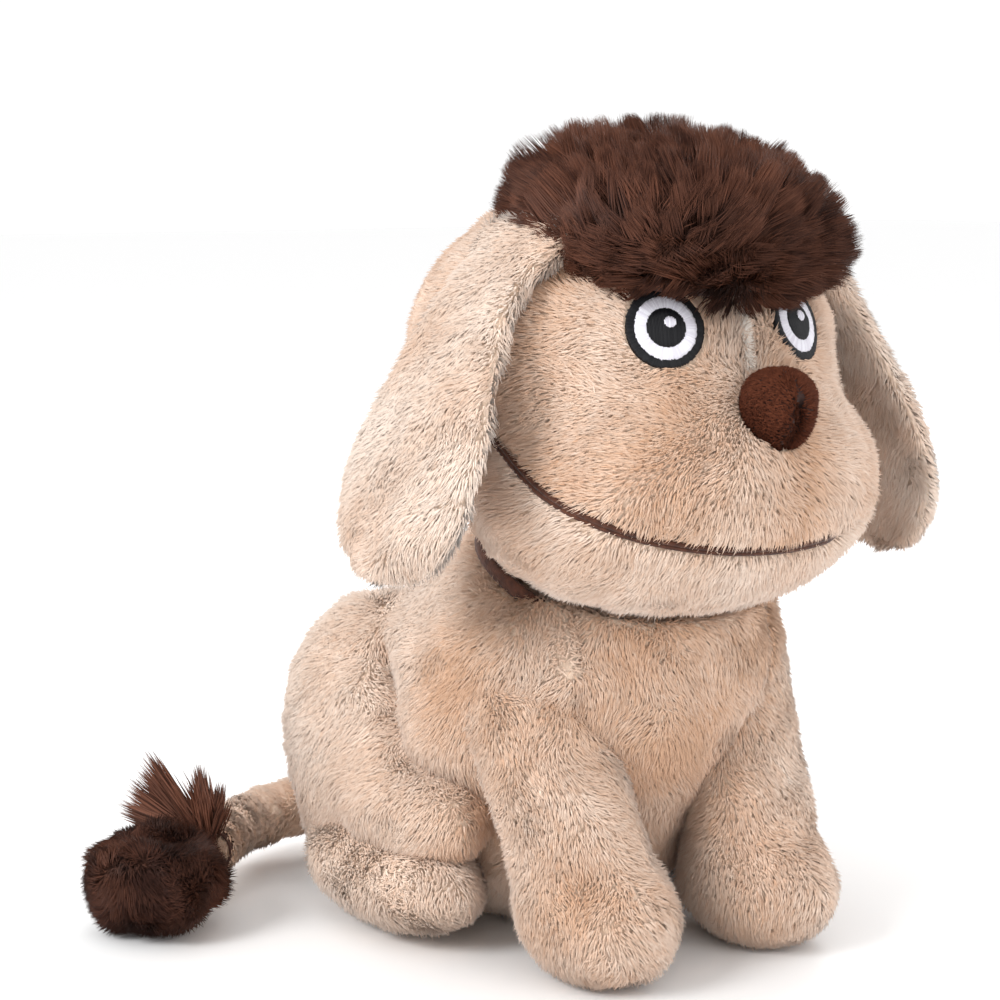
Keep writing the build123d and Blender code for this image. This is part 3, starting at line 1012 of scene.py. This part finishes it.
def build_tassel(root, axis):
    """A matted ball of fibres and, over the binding, a fan of straight bundles."""
    def field(p):
        return ellipsoid(p, TASSEL) + 2.4 + 1.5 * ripple(p, 13, 715)
    skin = star_skin(field, TASSEL[0], reach=50, level=6)
    ball = skin_object("tassel_ball", skin, brown_cloth)
    dress("tail", [ball], ["tassel_fibres"])

    def flow(p):
        return 0.8 * axis + 0.9 * ripple_vector(p, 9, 717)

    def above_floor(p):
        return p[:, 2] > 0.6
    dress("tail",
          pile("tassel_hair", skin, flow, 718, materials=brown_pile, density=8, length=4.8, width=0.35,
               lean=0.8, swirl=1.1, clump=3.0, light=-0.26, trim=above_floor))
    rng = np.random.default_rng(720)
    spread = np.linspace(-0.35, 1.35, FAN_BUNDLES) + 0.05 * rng.normal(size=FAN_BUNDLES)
    across = np.cross(axis, vec(0, 0, 1)) / math.hypot(axis[0], axis[1])
    lead = np.sin(spread)[:, None] * across + np.cos(spread)[:, None] * vec(0, 0, 1)
    lead = unit(lead + rng.normal(size=(FAN_BUNDLES, 3)) * vec(0.25, 0.25, 0.05))
    reach = 15.5 + 11 * smoothstep(spread, -0.2, 0.9) + 1.5 * rng.normal(size=FAN_BUNDLES)
    bundle = rng.integers(0, FAN_BUNDLES, int(FAN_FIBRES * FUR_SHARE))
    total = len(bundle)
    direction = unit(lead[bundle] + rng.normal(size=(total, 3)) * 0.035)
    long = (reach[bundle] * (0.9 + 0.15 * rng.random(total)))[:, None]
    start = root + axis * 1.5 + vec(0, 0, 2) + rng.normal(size=(total, 3)) * 0.9
    tone = rng.integers(1, len(brown_pile), total)
    wide = FAN_WIDTH * (0.7 + 0.6 * rng.random(total))
    fan = strands("tassel_fan", start, start + direction * long * 0.7, start + direction * long,
                  unit(direction + vec(0, 0, 0.6)), wide, tone, brown_pile)
    dress("tail", fan)


def build_binding(root, axis):
    """The thread wound round the tassel's root."""
    side = np.cross(axis, vec(0, 0, 1))
    up = np.cross(side, axis)
    cos, sin = circle(8)
    verts, tris = [], []
    for turn in range(WINDINGS):
        rings = []
        for angle in np.linspace(0, 2 * math.pi, 61):
            radial = math.cos(angle) * side + math.sin(angle) * up
            thread = WINDING_THREAD * (cos[:, None] * radial + sin[:, None] * axis)
            along = axis * (turn * WINDING_PITCH - 2.2)
            rings.append(root + along + radial * WINDING_RADIUS + thread)
        part = ring_skin(np.array(rings), capped=False)
        tris.append(part[1] + sum(map(len, verts)))
        verts.append(part[0])
    binding = make_object("tassel_winding", np.concatenate(verts), np.concatenate(tris), [brown_cloth])
    dress("tail", [binding], ["tassel_binding"])


add_camera()
add_stage()
build_torso()
build_neck()
build_head()
build_jaw()
build_lining("head", "mouth_lining_top", 0.5, "mouth_lining_upper")
build_lining("jaw", "mouth_lining_floor", -0.6, "mouth_lining_lower")
build_nose()
build_tuft()
for side in SIDES:
    build_eye(side)
    build_ear(side)
    build_foreleg(side)
    build_hind_foot(side)
tail_end = build_tail()
build_tassel(*tail_end)
build_binding(*tail_end)
